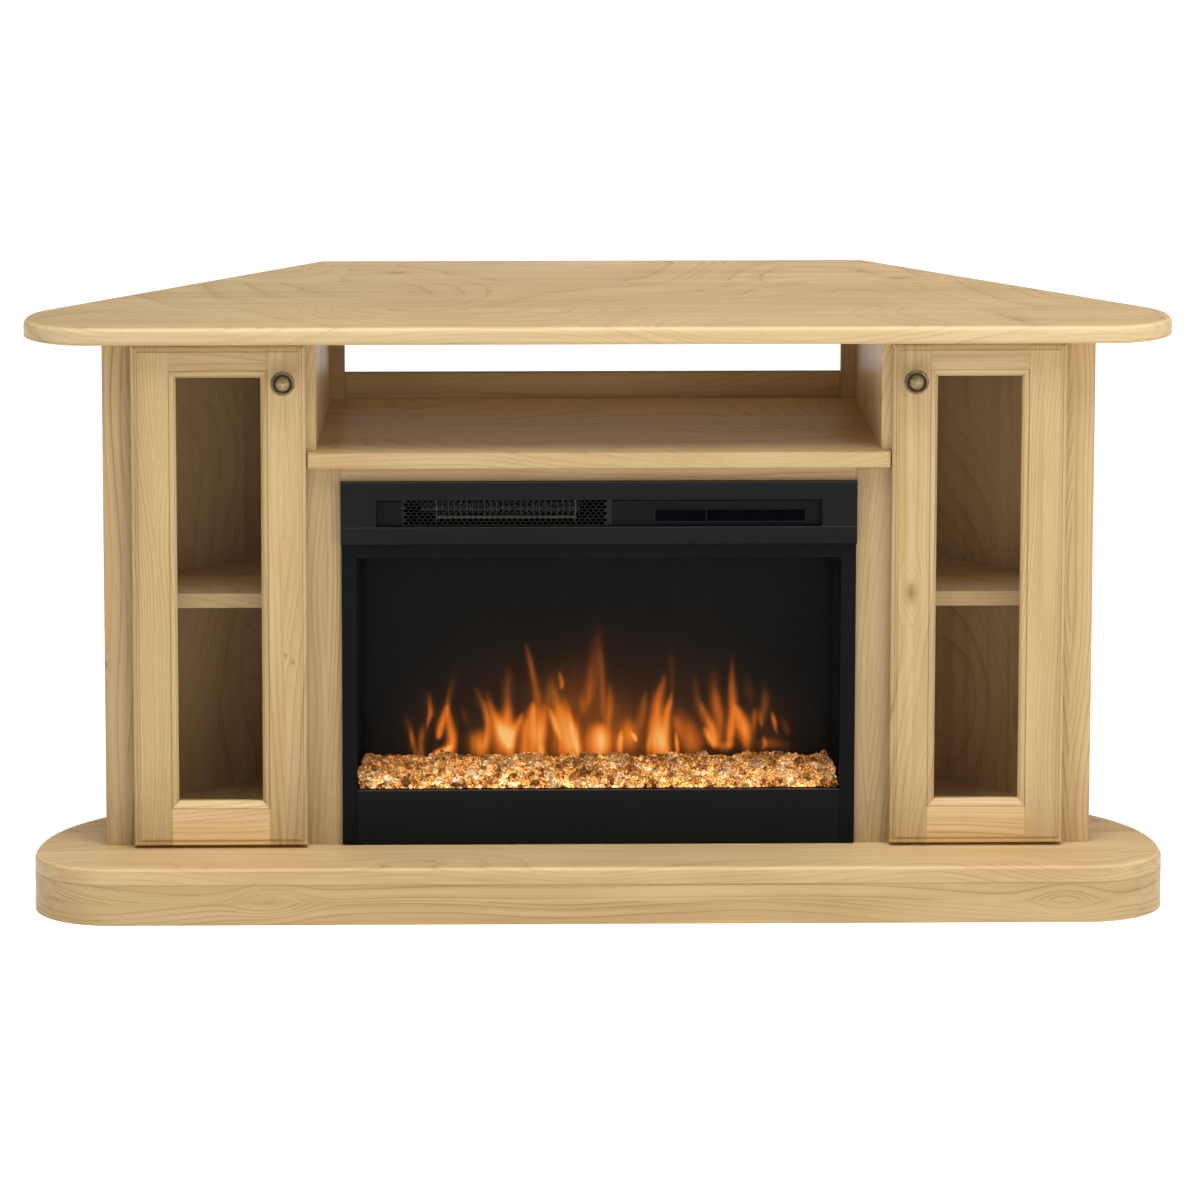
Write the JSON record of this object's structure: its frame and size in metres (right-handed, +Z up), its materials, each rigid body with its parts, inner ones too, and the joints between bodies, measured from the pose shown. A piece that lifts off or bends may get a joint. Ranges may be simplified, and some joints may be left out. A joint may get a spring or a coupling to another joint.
{
  "type": "corner media fireplace",
  "caption": "Corner media console in light maple with two glazed cupboard doors, an open shelf bay and a black plug-in electric firebox.",
  "frame": {"origin": "on the floor, under the middle of the whole outline", "axes": "+X to the right seen from the front, front faces -Y, +Z up"},
  "size_m": [1.4768, 0.573, 0.763],
  "materials": {
    "maple": "satin",
    "maple_back": "satin",
    "zinc": "satin",
    "door_glass": "gloss",
    "antique_brass": "satin",
    "black_steel": "satin",
    "black_gloss": "gloss",
    "fire_glass": "gloss",
    "screen_glass": "satin",
    "amber_crystal": "gloss"
  },
  "bodies": {
    "cabinet": {"top_board": "maple", "base_board": "maple", "plinth_front": "maple", "plinth_side_rails": "maple", "plinth_back_rail": "maple_back", "left_face_stile": "maple", "right_face_stile": "maple", "left_end_panel": "maple", "right_end_panel": "maple", "left_angled_panel": "maple", "right_angled_panel": "maple", "left_divider": "maple", "right_divider": "maple", "left_cabinet_floor": "maple", "right_cabinet_floor": "maple", "left_cabinet_shelf": "maple", "right_cabinet_shelf": "maple", "shelf_pins": "zinc", "media_shelf": "maple", "corner_posts": "maple", "back_panel": "maple_back", "surround_left_stile": "maple", "surround_right_stile": "maple", "surround_top_rail": "maple", "top_brackets": "zinc", "hinge_arms": "zinc", "firebox_casing": "black_steel", "vent_panel": "black_steel", "vent_mesh": "black_steel", "control_plate": "black_steel", "control_windows": "black_gloss", "trim_side_stiles": "black_steel", "trim_top_strip": "black_steel", "trim_bottom_panel": "black_steel", "front_glass": "fire_glass", "flame_screen": "screen_glass", "ember_tray": "black_steel", "ember_bed": "amber_crystal", "rotor_motor": "black_steel", "heater_element": "zinc", "blower_housing": "black_steel", "blower_motor": "black_steel"},
    "left_door": {"left_door_hinge_stile": "maple", "left_door_knob_stile": "maple", "left_door_top_rail": "maple", "left_door_bottom_rail": "maple", "left_door_glass": "door_glass", "left_glazing_beads": "maple_back", "left_knob": "antique_brass", "left_hinge_cups": "zinc"},
    "right_door": {"right_door_hinge_stile": "maple", "right_door_knob_stile": "maple", "right_door_top_rail": "maple", "right_door_bottom_rail": "maple", "right_door_glass": "door_glass", "right_glazing_beads": "maple_back", "right_knob": "antique_brass", "right_hinge_cups": "zinc"},
    "rotor": {"flicker_rotor": "zinc"},
    "blower": {"blower_wheel": "zinc"}
  },
  "joints": [
    {"name": "left_door_hinge", "type": "hinge", "parent": "cabinet", "child": "left_door", "pos_m": [-0.5944, -0.1685, 0.4], "axis": [0, 0, -1], "range_deg": [0, 105]},
    {"name": "right_door_hinge", "type": "hinge", "parent": "cabinet", "child": "right_door", "pos_m": [0.5944, -0.1685, 0.4], "axis": [0, 0, 1], "range_deg": [0, 105]},
    {"name": "rotor_spin", "type": "hinge", "parent": "cabinet", "child": "rotor", "pos_m": [0, -0.0065, 0.1385], "axis": [1, 0, 0], "continuous": true},
    {"name": "blower_spin", "type": "hinge", "parent": "cabinet", "child": "blower", "pos_m": [-0.125, -0.0265, 0.51035], "axis": [1, 0, 0], "continuous": true}
  ]
}
